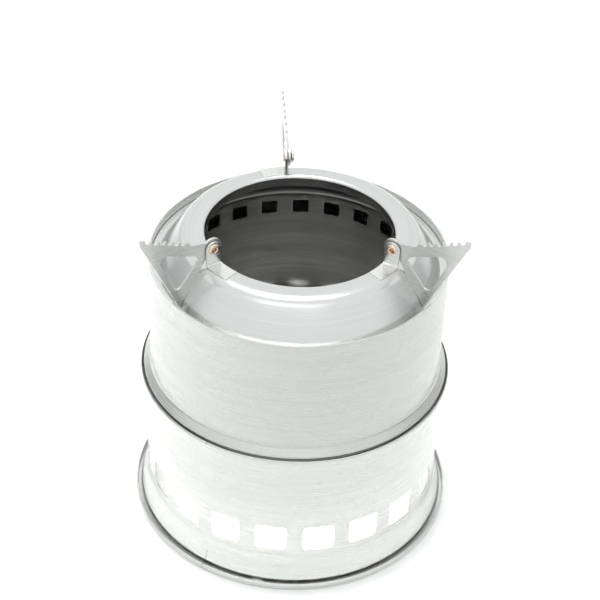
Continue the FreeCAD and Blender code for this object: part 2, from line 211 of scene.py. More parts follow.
    flat.operation = "MULTIPLY"
    flat.inputs[1].default_value = (1, 1, 0)
    reach.operation = "LENGTH"
    along.operation = "SUBTRACT"
    stretch.inputs["Scale"].default_value = (look["grainLong"], look["grainLong"], look["grainFine"])
    widen.inputs["Scale"].default_value = (6, 6, look["grainFine"] * 0.12)
    grain.inputs["Scale"].default_value = 1
    grain.inputs["Detail"].default_value = 5
    grain.inputs["Roughness"].default_value = 0.65
    belts.inputs["Scale"].default_value = 1
    belts.inputs["Detail"].default_value = 3
    marks.inputs["Scale"].default_value = 55
    marks.inputs["Detail"].default_value = 6
    marks.inputs["Distortion"].default_value = 0.8
    waves.inputs["Scale"].default_value = 26
    waves.inputs["Detail"].default_value = 1
    grainTone.inputs["From Min"].default_value = 0.3
    grainTone.inputs["From Max"].default_value = 0.7
    grainTone.inputs["To Min"].default_value = 1 - look["grainTone"]
    grainTone.inputs["To Max"].default_value = 1 + look["grainTone"] * 0.4
    beltTone.inputs["From Min"].default_value = 0.3
    beltTone.inputs["From Max"].default_value = 0.7
    beltTone.inputs["To Min"].default_value = -look["beltTone"]
    beltTone.inputs["To Max"].default_value = look["beltTone"]
    toneSum.operation = "ADD"
    inner.inputs["From Min"].default_value = (look["paintedLightRadius"] - 0.05) * mm
    inner.inputs["From Max"].default_value = (look["paintedLightRadius"] + 0.05) * mm
    inner.inputs["To Min"].default_value = look["innerPaintedLight"]
    inner.inputs["To Max"].default_value = 1
    turnedTo.inputs["Rotation"].default_value = (0, 0, -radians(look["seamAzimuth"]))
    beside.operation = "ABSOLUTE"
    seamLine.inputs["From Min"].default_value = 0.15 * mm
    seamLine.inputs["From Max"].default_value = 0.4 * mm
    seamLine.inputs["To Min"].default_value = look["seamTone"]
    seamLine.inputs["To Max"].default_value = 0
    seamSide.inputs["From Min"].default_value = (look["seamRadius"] - 0.1) * mm
    seamSide.inputs["From Max"].default_value = look["seamRadius"] * mm
    seam.operation = "MULTIPLY"
    shade.operation = "SUBTRACT"
    shaded.operation = "MULTIPLY"
    tint.operation = "MULTIPLY"
    tint.inputs[0].default_value = look["colour"]
    markRough.inputs["From Min"].default_value = 0.35
    markRough.inputs["From Max"].default_value = 0.75
    markRough.inputs["To Min"].default_value = look["roughness"] - look["markRough"] * 0.5
    markRough.inputs["To Max"].default_value = look["roughness"] + look["markRough"]
    grainRough.inputs["From Min"].default_value = 0.3
    grainRough.inputs["From Max"].default_value = 0.7
    grainRough.inputs["To Min"].default_value = -0.04
    grainRough.inputs["To Max"].default_value = 0.05
    roughSum.operation = "ADD"
    roughSum.use_clamp = True
    waveBump.inputs["Strength"].default_value = look["waves"]
    waveBump.inputs["Distance"].default_value = 0.0006
    grainBump.inputs["Strength"].default_value = look["relief"]
    grainBump.inputs["Distance"].default_value = 0.00004
    back.operation = "MULTIPLY"
    back.inputs[1].default_value = -1
    layWorld.vector_type = "VECTOR"
    layWorld.convert_from = "OBJECT"
    layWorld.convert_to = "WORLD"
    steel.inputs["Metallic"].default_value = 1
    steel.inputs["Anisotropic"].default_value = look["anisotropic"]

    links.new(place.outputs["Object"], flat.inputs[0])
    links.new(place.outputs["Object"], split.inputs[0])
    links.new(place.outputs["Object"], turnX.inputs[0])
    links.new(flat.outputs["Vector"], reach.inputs[0])
    links.new(split.outputs["Z"], along.inputs[0])
    links.new(reach.outputs["Value"], along.inputs[1])
    links.new(turnX.outputs["X"], laid.inputs["X"])
    links.new(turnX.outputs["Y"], laid.inputs["Y"])
    links.new(along.outputs[0], laid.inputs["Z"])
    links.new(laid.outputs[0], stretch.inputs["Vector"])
    links.new(laid.outputs[0], widen.inputs["Vector"])
    links.new(stretch.outputs[0], grain.inputs["Vector"])
    links.new(widen.outputs[0], belts.inputs["Vector"])
    links.new(place.outputs["Object"], marks.inputs["Vector"])
    links.new(place.outputs["Object"], waves.inputs["Vector"])
    links.new(grain.outputs["Fac"], grainTone.inputs["Value"])
    links.new(belts.outputs["Fac"], beltTone.inputs["Value"])
    links.new(grainTone.outputs[0], toneSum.inputs[0])
    links.new(beltTone.outputs[0], toneSum.inputs[1])
    links.new(reach.outputs["Value"], inner.inputs["Value"])
    links.new(place.outputs["Object"], turnedTo.inputs["Vector"])
    links.new(turnedTo.outputs[0], nearSeam.inputs[0])
    links.new(nearSeam.outputs["Y"], beside.inputs[0])
    links.new(beside.outputs[0], seamLine.inputs["Value"])
    links.new(nearSeam.outputs["X"], seamSide.inputs["Value"])
    links.new(seamLine.outputs[0], seam.inputs[0])
    links.new(seamSide.outputs[0], seam.inputs[1])
    links.new(inner.outputs[0], shade.inputs[0])
    links.new(seam.outputs[0], shade.inputs[1])
    links.new(toneSum.outputs[0], shaded.inputs[0])
    links.new(shade.outputs[0], shaded.inputs[1])
    links.new(shaded.outputs[0], tint.inputs[1])
    links.new(tint.outputs[0], steel.inputs["Base Color"])
    links.new(marks.outputs["Fac"], markRough.inputs["Value"])
    links.new(grain.outputs["Fac"], grainRough.inputs["Value"])
    links.new(markRough.outputs[0], roughSum.inputs[0])
    links.new(grainRough.outputs[0], roughSum.inputs[1])
    links.new(roughSum.outputs[0], steel.inputs["Roughness"])
    links.new(waves.outputs["Fac"], waveBump.inputs["Height"])
    links.new(grain.outputs["Fac"], grainBump.inputs["Height"])
    links.new(waveBump.outputs[0], grainBump.inputs["Normal"])
    links.new(grainBump.outputs[0], steel.inputs["Normal"])
    links.new(turnX.outputs["Y"], back.inputs[0])
    links.new(back.outputs[0], lay.inputs["X"])
    links.new(turnX.outputs["X"], lay.inputs["Y"])
    links.new(lay.outputs[0], layWorld.inputs[0])
    links.new(layWorld.outputs[0], steel.inputs["Tangent"])
    links.new(steel.outputs[0], output.inputs["Surface"])
    return material


wallLook = {
    "colour": (0.60, 0.605, 0.59),
    "roughness": 0.27,
    "markRough": 0.05,
    "grainLong": 30,
    "grainFine": 2600,
    "grainTone": 0.07,
    "beltTone": 0.02,
    "waves": 0.12,
    "relief": 0.35,
    "anisotropic": 0.55,
    "paintedLightRadius": 60.65,
    # painted light: the pot wall's inner face is made 1.3 times brighter than its outer face
    "innerPaintedLight": 1.3,
    "seamAzimuth": 135.5,
    "seamRadius": 60.0,
    "seamTone": 0.3,
}
rolledRim = {"paintedLightRadius": 0, "innerPaintedLight": 1, "seamAzimuth": -121.1, "seamRadius": 64.9, "seamTone": 0.35}
seamless = {"paintedLightRadius": 0, "innerPaintedLight": 1, "seamAzimuth": 0, "seamRadius": 100, "seamTone": 0}
wallSteel = turnedSteel("wallSteel", wallLook)
baseSteel = turnedSteel("baseSteel", {**wallLook, **rolledRim, "colour": (0.66, 0.665, 0.65)})
coneSteel = turnedSteel("coneSteel", {
    **wallLook, **seamless,
    "colour": (0.665, 0.67, 0.665), "roughness": 0.2, "grainTone": 0.05, "relief": 0.25,
})
panSteel = turnedSteel("panSteel", {**wallLook, **rolledRim, "colour": (0.70, 0.70, 0.69), "roughness": 0.24})
# painted shade: the chamber's steel colour is cut to well under half the wall's, standing in for the shade
# inside the pot
shadedChamberSteel = turnedSteel("shadedChamberSteel", {
    **wallLook, **seamless,
    "colour": (0.26, 0.26, 0.255), "roughness": 0.33, "grainTone": 0.2, "beltTone": 0.07,
})
grateSteel = turnedSteel("grateSteel", {
    **wallLook, **seamless,
    "colour": (0.3, 0.29, 0.28), "roughness": 0.36, "grainTone": 0.12, "anisotropic": 0.3,
})


# flat steel that was brushed in one direction: arms and brackets
def flatSteel(name, azimuth, look):
    material = bpy.data.materials.new(name)
    material.use_nodes = True
    nodes = material.node_tree.nodes
    links = material.node_tree.links
    nodes.clear()

    grainFrame = nodes.new("NodeFrame")
    grainFrame.label = "Brushed grain along the arm"
    wearFrame = nodes.new("NodeFrame")
    wearFrame.label = "Handling marks"
    finishFrame = nodes.new("NodeFrame")
    finishFrame.label = "Steel"

    place = nodes.new("ShaderNodeTexCoord")
    place.label = "Place on the stove"
    place.location = (-1100, 0)
    turned = nodes.new("ShaderNodeMapping")
    turned.label = "Turn to the arm"
    turned.location = (-920, 60)
    stretch = nodes.new("ShaderNodeMapping")
    stretch.label = "Long thin scratches"
    stretch.location = (-740, 160)
    grain = nodes.new("ShaderNodeTexNoise")
    grain.label = "Fine grain"
    grain.location = (-560, 200)
    marks = nodes.new("ShaderNodeTexNoise")
    marks.label = "Fingers and cloth"
    marks.location = (-560, -120)
    grainTone = nodes.new("ShaderNodeMapRange")
    grainTone.label = "Grain to tone"
    grainTone.location = (-360, 240)
    tint = nodes.new("ShaderNodeVectorMath")
    tint.label = "Steel colour"
    tint.location = (-160, 240)
    markRough = nodes.new("ShaderNodeMapRange")
    markRough.label = "Marks to roughness"
    markRough.location = (-360, -120)
    grainRough = nodes.new("ShaderNodeMapRange")
    grainRough.label = "Grain to roughness"
    grainRough.location = (-360, 0)
    roughSum = nodes.new("ShaderNodeMath")
    roughSum.label = "Roughness"
    roughSum.location = (-160, -60)
    grainBump = nodes.new("ShaderNodeBump")
    grainBump.label = "Grain relief"
    grainBump.location = (-160, -260)
    steel = nodes.new("ShaderNodeBsdfPrincipled")
    steel.label = "Stainless steel"
    steel.location = (60, 160)
    output = nodes.new("ShaderNodeOutputMaterial")
    output.label = "Surface"
    output.location = (360, 160)

    for node in (turned, stretch, grain, grainTone, grainBump):
        node.parent = grainFrame
    for node in (marks, markRough, grainRough, roughSum):
        node.parent = wearFrame
    for node in (tint, steel, output):
        node.parent = finishFrame

    turned.vector_type = "POINT"
    turned.inputs["Rotation"].default_value = (0, 0, -radians(azimuth))
    stretch.inputs["Rotation"].default_value = (0, radians(look["slant"]), 0)
    stretch.inputs["Scale"].default_value = (look["grainLong"], look["grainFine"], look["grainFine"])
    grain.inputs["Scale"].default_value = 1
    grain.inputs["Detail"].default_value = 4
    grain.inputs["Roughness"].default_value = 0.6
    marks.inputs["Scale"].default_value = 140
    marks.inputs["Detail"].default_value = 5
    marks.inputs["Distortion"].default_value = 0.6
    grainTone.inputs["From Min"].default_value = 0.3
    grainTone.inputs["From Max"].default_value = 0.7
    grainTone.inputs["To Min"].default_value = 1 - look["grainTone"]
    grainTone.inputs["To Max"].default_value = 1 + look["grainTone"] * 0.5
    tint.operation = "MULTIPLY"
    tint.inputs[0].default_value = look["colour"]
    markRough.inputs["From Min"].default_value = 0.35
    markRough.inputs["From Max"].default_value = 0.75
    markRough.inputs["To Min"].default_value = look["roughness"] - 0.03
    markRough.inputs["To Max"].default_value = look["roughness"] + 0.06
    grainRough.inputs["From Min"].default_value = 0.3
    grainRough.inputs["From Max"].default_value = 0.7
    grainRough.inputs["To Min"].default_value = -0.04
    grainRough.inputs["To Max"].default_value = 0.05
    roughSum.operation = "ADD"
    roughSum.use_clamp = True
    grainBump.inputs["Strength"].default_value = look["relief"]
    grainBump.inputs["Distance"].default_value = 0.00004
    steel.inputs["Metallic"].default_value = 1

    links.new(place.outputs["Object"], turned.inputs["Vector"])
    links.new(turned.outputs[0], stretch.inputs["Vector"])
    links.new(stretch.outputs[0], grain.inputs["Vector"])
    links.new(place.outputs["Object"], marks.inputs["Vector"])
    links.new(grain.outputs["Fac"], grainTone.inputs["Value"])
    links.new(grainTone.outputs[0], tint.inputs[1])
    links.new(tint.outputs[0], steel.inputs["Base Color"])
    links.new(marks.outputs["Fac"], markRough.inputs["Value"])
    links.new(grain.outputs["Fac"], grainRough.inputs["Value"])
    links.new(markRough.outputs[0], roughSum.inputs[0])
    links.new(grainRough.outputs[0], roughSum.inputs[1])
    links.new(roughSum.outputs[0], steel.inputs["Roughness"])
    links.new(grain.outputs["Fac"], grainBump.inputs["Height"])
    links.new(grainBump.outputs[0], steel.inputs["Normal"])
    links.new(steel.outputs[0], output.inputs["Surface"])
    return material


armLook = {
    "colour": (0.66, 0.66, 0.65),
    "roughness": 0.3,
    "slant": 0,
    "grainLong": 60,
    "grainFine": 2400,
    "grainTone": 0.12,
    "relief": 0.4,
}
bracketLook = {**armLook, "colour": (0.78, 0.78, 0.77), "roughness": 0.24, "grainTone": 0.08}
rivetLook = {**armLook, "colour": (0.78, 0.62, 0.48), "roughness": 0.22, "grainTone": 0.1, "grainLong": 900}
print("materials written")


# ways of making sheet-metal pieces
def newObject(name, mesh, material):
    piece = bpy.data.objects.new(name, mesh)
    sceneRoot.objects.link(piece)
    piece.data.materials.append(material)
    return piece


def cutEdges(piece, width):
    edges = piece.modifiers.new("cutEdges", "BEVEL")
    edges.width = width * mm
    edges.segments = 2
    edges.limit_method = "ANGLE"
    edges.angle_limit = radians(50)
    edges.harden_normals = True


def sheetPiece(name, profile, gauge, material, steps=192, edge=0.16):
    # profile: outside of the sheet as (radius, height, bend) from top to bottom; bend is how far
    # the rounding of that corner starts before it
    mesh = bpy.data.meshes.new(name)
    points = [(radius * mm, 0, height * mm) for radius, height, bend in profile]
    mesh.from_pydata(points, [(i, i + 1) for i in range(len(points) - 1)], [])
    widest = max(bend for radius, height, bend in profile)
    weights = mesh.attributes.new("bevel_weight_vert", "FLOAT", "POINT")
    for item, (radius, height, bend) in zip(weights.data, profile):
        item.value = bend / widest
    piece = newObject(name, mesh, material)
    bends = piece.modifiers.new("bends", "BEVEL")
    bends.affect = "VERTICES"
    bends.limit_method = "WEIGHT"
    bends.offset_type = "OFFSET"
    bends.width = widest * mm
    bends.segments = 5
    turn = piece.modifiers.new("turn", "SCREW")
    turn.steps = steps
    turn.render_steps = steps
    turn.use_normal_calculate = True
    turn.use_merge_vertices = True
    turn.merge_threshold = 1e-6
    sheet = piece.modifiers.new("sheet", "SOLIDIFY")
    sheet.thickness = gauge * mm
    sheet.offset = -1
    sheet.use_even_offset = True
    cutEdges(piece, edge)
    return piece


def finishPiece(piece, body, slot, *nodes):
    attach(piece, body)
    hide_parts(*nodes)


# base: pan and windowed wall
pan = {
    "gauge": 0.7,
    "lipRadius": 68.85,
    "lipTop": 3.05,
}
panPiece = sheetPiece("basePan", [
    (pan["lipRadius"] - 0.72, pan["lipTop"] - 0.06, 0),
    (pan["lipRadius"] - 0.52, pan["lipTop"], 0.1),
    (pan["lipRadius"] - 0.05, pan["lipTop"] - 0.55, 0.2),
    (pan["lipRadius"], pan["lipTop"] - 0.9, 0.2),
    (pan["lipRadius"], 0.02, 0.9),
    (0.001, 0.02, 0),
], pan["gauge"], panSteel, edge=0.05)
finishPiece(panPiece, "base", "shell_steel", "base_pan")


def windowedWall(name, rows, window, gauge, material, edge=0.16):
    # rows: outside of the wall as (radius, height, bend) from top to bottom, with None where the
    # windows come; each window is cut straight through, and its loop is joined to its cell's border
    corner, half = window["corner"], window["width"] / 2
    low, high = window["height"] - window["tall"] / 2, window["height"] + window["tall"] / 2
    split = rows.index(None)
    above, below = rows[:split], rows[split + 1:]
    upper, lower = above[-1], below[0]

    def radiusAt(height):
        share = (height - lower[1]) / (upper[1] - lower[1])
        return lower[0] + share * (upper[0] - lower[0])

    arcs = [pi / 2 * k / 4 for k in range(5)]
    middle = [(2 * k / 4 - 1) * (half - corner) for k in range(1, 4)]
    rise = [(2 * k / 4 - 1) * (window["tall"] / 2 - corner) for k in range(1, 4)]
    loop = []                                      # the window's outline, counter-clockwise from low left
    for centreX, centreZ, start in (
        (-half + corner, low + corner, pi), (half - corner, low + corner, 1.5 * pi),
        (half - corner, high - corner, 0), (-half + corner, high - corner, 0.5 * pi),
    ):
        loop += [(centreX + corner * cos(start + a), centreZ + corner * sin(start + a)) for a in arcs]
        if start == pi:
            loop += [(x, low) for x in middle]
        elif start == 1.5 * pi:
            loop += [(half, window["height"] + z) for z in rise]
        elif start == 0:
            loop += [(-x, high) for x in middle]
        else:
            loop += [(-half, window["height"] - z) for z in rise]

    cell = 2 * pi / window["count"]
    spread = [asin(x / radiusAt(low)) for x in middle]
    first = [-cell / 2, -(cell / 2 + 2 * asin((half - corner) / radiusAt(low))) / 3]
    second = -(cell / 2 + 5 * asin((half - corner) / radiusAt(low))) / 6
    sides = [first[0], first[1], second]
    columns = sides + spread + [-a for a in reversed(sides)]
    zLow, zHigh = lower[1], upper[1]
    rowSide = [zLow, zLow + (low - zLow) * 0.55, zLow + (low + corner - zLow) * 0.85]
    rowTop = [zHigh, zHigh - (zHigh - high) * 0.55, zHigh - (zHigh - high + corner) * 0.85]
    heights = rowSide + [window["height"] + z for z in rise] + list(reversed(rowTop))
    border = []                                    # the cell's border, in step with the window's outline
    border += [(columns[0], heights[2]), (columns[0], heights[1]), (columns[0], heights[0])]
    border += [(a, heights[0]) for a in columns[1:]]
    border += [(columns[-1], z) for z in heights[1:]]
    border += [(a, heights[-1]) for a in reversed(columns[:-1])]
    border += [(columns[0], z) for z in reversed(heights[3:-1])]

    builder = bmesh.new()
    weight = builder.edges.layers.float.new("bevel_weight_edge")
    known = {}

    def corner3d(angle, radius, height):
        key = (round(angle % (2 * pi), 6) % round(2 * pi, 6), round(height, 5), round(radius, 4))
        if key not in known:
            known[key] = builder.verts.new((radius * cos(angle) * mm, radius * sin(angle) * mm, height * mm))
        return known[key]

    for k in range(window["count"]):
        turn = radians(window["turn"]) + cell * k
        outer = [corner3d(turn + a, radiusAt(z), z) for a, z in border]
        inner = [corner3d(turn + asin(x / radiusAt(z)), radiusAt(z), z) for x, z in loop]
        for i in range(len(outer)):
            j = (i + 1) % len(outer)
            builder.faces.new((outer[i], outer[j], inner[j], inner[i]))
        for rowsHere in (above, below):
            for (r1, z1, _), (r2, z2, _) in zip(rowsHere, rowsHere[1:]):
                for a, b in zip(columns, columns[1:]):
                    builder.faces.new((
                        corner3d(turn + a, r1, z1), corner3d(turn + a, r2, z2),
                        corner3d(turn + b, r2, z2), corner3d(turn + b, r1, z1),
                    ))
    widest = max(row[2] for row in above + below)
    bendAt = {(round(z, 5)): bend for r, z, bend in above + below}
    for item in builder.edges:
        z1, z2 = (round(v.co.z / mm, 5) for v in item.verts)
        if abs(z1 - z2) < 1e-4 and len(item.link_faces) == 2:
            item[weight] = next((b for z, b in bendAt.items() if abs(z - z1) < 1e-3), 0) / widest
    bmesh.ops.recalc_face_normals(builder, faces=builder.faces)
    for face in builder.faces:
        face.smooth = True
    outwards = 0
    for face in builder.faces:
        middlePoint = face.calc_center_median()
        outwards += face.normal.dot(Vector((middlePoint.x, middlePoint.y, 0)))
    if outwards < 0:
        bmesh.ops.reverse_faces(builder, faces=builder.faces)
    mesh = bpy.data.meshes.new(name)
    builder.to_mesh(mesh)
    builder.free()
    piece = newObject(name, mesh, material)
    bends = piece.modifiers.new("bends", "BEVEL")
    bends.limit_method = "WEIGHT"
    bends.offset_type = "OFFSET"
    bends.width = widest * mm
    bends.segments = 4
    sheet = piece.modifiers.new("sheet", "SOLIDIFY")
    sheet.thickness = gauge * mm
    sheet.offset = -1
    sheet.use_even_offset = True
    cutEdges(piece, edge)
    return piece


baseWall = {
    "gauge": 0.7,
    "rows": [
        (64.8, 69.38, 0), (65.25, 68.9, 0.2), (65.3, 68.1, 0.3), (61.9, 66.4, 0.7),
        (62.6, 44.0, 0), (63.17, 33.4, 0), None,
        (63.42, 15.6, 0), (63.5, 12.0, 2.4), (66.6, 3.5, 1.0), (66.7, 0.75, 0),
    ],
    "window": {
        "count": 20, "width": 12.9, "tall": 12.1, "height": 24.4, "corner": 1.2, "turn": -6.35,
    },
}
wallPiece = windowedWall("baseWall", baseWall["rows"], baseWall["window"], baseWall["gauge"], baseSteel)
finishPiece(wallPiece, "base", "shell_steel", "base_shell")
print("base built")


# fire pot: outer wall, chamber with its air ports, and the steel of the grate and air ring
potWall = {
    "gauge": 0.7,
    "profile": [
        (61.0, 124.4, 0), (61.0, 73.3, 0.9), (63.9, 70.3, 0.5),
        (63.75, 69.5, 0.3), (63.0, 69.05, 0.3), (62.85, 67.85, 0),
    ],
}
potPiece = sheetPiece("potWall", potWall["profile"], potWall["gauge"], wallSteel)
finishPiece(potPiece, "burner", "shell_steel", "upper_shell")

chamber = {
    "gauge": 0.7,
    "rows": [
        (60.25, 118.98, 0), (57.0, 118.98, 0.6), (52.7, 118.5, 1.4), (52.7, 116.2, 0), None,
        (52.7, 106.6, 0), (52.7, 62.02, 0.9), (47.0, 62.02, 0),
    ],
    "window": {
        "count": 24, "width": 6.8, "tall": 6.3, "height": 111.4, "corner": 0.8, "turn": 0.3,
    },
}
chamberPiece = windowedWall(
    "fireChamber", chamber["rows"], chamber["window"], chamber["gauge"], shadedChamberSteel, 0.12,
)
finishPiece(chamberPiece, "burner", "chamber_steel", "fire_chamber")

# the air ring takes the chamber's darkened steel, which is painted shade as well
for node in ("fire_grate", "air_ring"):
    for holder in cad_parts[node].material_slots:
        holder.link = "OBJECT"
        holder.material = grateSteel if node == "fire_grate" else shadedChamberSteel
print("fire pot built")


# top: cone with the mouth ring
cone = {
    "gauge": 0.7,
    "profile": [
        (60.2, 119.9, 0), (56.9, 119.5, 0.35), (46.15, 135.2, 3.2), (38.7, 135.2, 0.6), (38.7, 131.5, 0),
    ],
}
conePiece = sheetPiece("topCone", list(reversed(cone["profile"])), cone["gauge"], coneSteel)
finishPiece(conePiece, "top", "shell_steel", "top_cone")
print("top built")


# arms, brackets and rivets
arms = {
    "left": {"azimuth": 216.4, "side": 1},
    "right": {"azimuth": -29.1, "side": -1},
    "rear": {"azimuth": 97.5, "side": 1},
}
pivot = {"radius": 42.2, "height": 143.2, "offset": 0.6}
arm = {
    "gauge": 1.0,
    "offset": 0.5,
    "edge": 0.14,
    "eye": 4.2,
    "eyeStart": 48.0,
    "eyeEnd": 305.0,
    "bore": 1.65,
    "tip": (73.9, 158.3),
    "toothAngle": 22.6,
    "toothFirst": 3.9,
    "toothPitch": 3.3,
    "notches": 6,
    "notchRadius": 1.2,
    "notchSink": 0.2,
    "hole": [(67.6, 149.1, 2.6), (47.3, 141.0, 2.2), (58.4, 127.6, 2.0)],
}
bracket = {
    "gauge": 1.0,
    "inner": 39.0,
    "outer": 45.4,
    "near": 1.3,
    "sweep": 16.5,
    "bottom": 135.2,
    "ear": 3.25,
    "hole": 1.7,
    "bend": 1.6,
    "cornerCut": 2.0,
}
rivet = {"shank": 1.58, "bore": 0.9, "head": 2.4, "depth": 0.7, "earTop": 1.7, "tailTop": -1.2}
washer = {"outer": 2.9, "inner": 1.62, "low": -1.2, "gauge": 0.5}


def roundedOutline(corners, segments=5):
    # corners: (x, y, radius); every corner with a radius becomes an arc
    outline = []
    for i, (x, y, radius) in enumerate(corners):
        if radius == 0:
            outline.append((x, y))
            continue
        here = Vector((x, y))
        before = (Vector(corners[i - 1][:2]) - here).normalized()
        after = (Vector(corners[(i + 1) % len(corners)][:2]) - here).normalized()
        halfAngle = before.angle(after) / 2
        centre = here + (before + after).normalized() * radius / sin(halfAngle)
        reach = radius * cos(halfAngle) / sin(halfAngle)
        start, end = (here + side * reach - centre for side in (before, after))
        swing = start.angle_signed(end)
        for k in range(segments + 1):
            spoke = start.copy()
            spoke.rotate(Matrix.Rotation(-swing * k / segments, 2))
            outline.append(tuple(centre + spoke))
    return outline


def filledSheet(name, outlines, gauge, edge):
    # a flat sheet with rounded cut edges, in its own XY plane, as a mesh
    curve = bpy.data.curves.new(name, "CURVE")
    curve.dimensions = "2D"
    curve.fill_mode = "BOTH"
    curve.extrude = (gauge / 2 - edge) * mm
    curve.bevel_depth = edge * mm
    curve.bevel_resolution = 1
    curve.offset = -edge * mm
    for outline in outlines:
        spline = curve.splines.new("POLY")
        spline.points.add(len(outline) - 1)
        for point, (x, y) in zip(spline.points, outline):
            point.co = (x * mm, y * mm, 0, 1)
        spline.use_cyclic_u = True
    helper = bpy.data.objects.new(name, curve)
    sceneRoot.objects.link(helper)
    bpy.context.view_layer.update()
    mesh = bpy.data.meshes.new_from_object(helper.evaluated_get(bpy.context.evaluated_depsgraph_get()))
    bpy.data.objects.remove(helper)
    bpy.data.curves.remove(curve)
    builder = bmesh.new()
    builder.from_mesh(mesh)
    bmesh.ops.remove_doubles(builder, verts=builder.verts, dist=2e-6)
    bmesh.ops.dissolve_degenerate(builder, edges=builder.edges, dist=1e-7)
    bmesh.ops.recalc_face_normals(builder, faces=builder.faces)
    for face in builder.faces:
        face.smooth = True
    builder.to_mesh(mesh)
    builder.free()
    mesh.materials.clear()
    return mesh


def armOutline():
    slope = radians(arm["toothAngle"])
    inwards = Vector((-cos(slope), -sin(slope)))
    downwards = Vector((sin(slope), -cos(slope)))
    tip = Vector(arm["tip"])
    corners = [(57.3, 120.4, 0.4), (74.0, 155.6, 0.6), (*arm["tip"], 0.7)]
    wing = asin(arm["notchSink"] / arm["notchRadius"])
    for k in range(arm["notches"]):
        along = arm["toothFirst"] + k * arm["toothPitch"]
        centre = tip + inwards * along + downwards * arm["notchSink"]
        for step in range(9):
            angle = -wing + (pi + 2 * wing) * step / 8
            spoke = downwards * sin(angle) - inwards * cos(angle)
            corners.append((*(centre + spoke * arm["notchRadius"]), 0))
    corners += [(52.78, 149.51, 0.3), (52.0, 147.7, 0.8)]
    for k in range(29):
        angle = radians(arm["eyeStart"] + (arm["eyeEnd"] - arm["eyeStart"]) * k / 28)
        corners.append((
            pivot["radius"] + arm["eye"] * cos(angle), pivot["height"] + arm["eye"] * sin(angle), 0,
        ))
    corners += [(47.3, 135.2, 1.5), (48.4, 132.8, 1.0)]
    return roundedOutline(corners, 4)


def circleOutline(x, y, radius, count=32):
    angles = [2 * pi * k / count for k in range(count)]
    return [(x + radius * cos(angle), y + radius * sin(angle)) for angle in angles]


def settle(piece, place):
    # applies the piece's stack, then its place, so that its object stays at the origin
    bpy.context.view_layer.update()
    mesh = bpy.data.meshes.new_from_object(piece.evaluated_get(bpy.context.evaluated_depsgraph_get()))
    mesh.transform(place)
    if place.determinant() < 0:
        mesh.flip_normals()
    piece.modifiers.clear()
    piece.data = mesh


def armPlace(azimuth, side):
    # own X runs outwards, own Y up, and own Z across the sheet
    upright = Matrix(((1, 0, 0, 0), (0, 0, -1, side * arm["offset"] * mm), (0, 1, 0, 0), (0, 0, 0, 1)))
    return Matrix.Rotation(radians(azimuth), 4, "Z") @ upright


def pivotPlace(azimuth, side):
    # own Z runs along the pivot, from the arm to the ear
    middle = Matrix.Translation(Vector((pivot["radius"], side * pivot["offset"], pivot["height"])) * mm)
    return Matrix.Rotation(radians(azimuth), 4, "Z") @ middle @ Matrix.Rotation(radians(-90 * side), 4, "X")


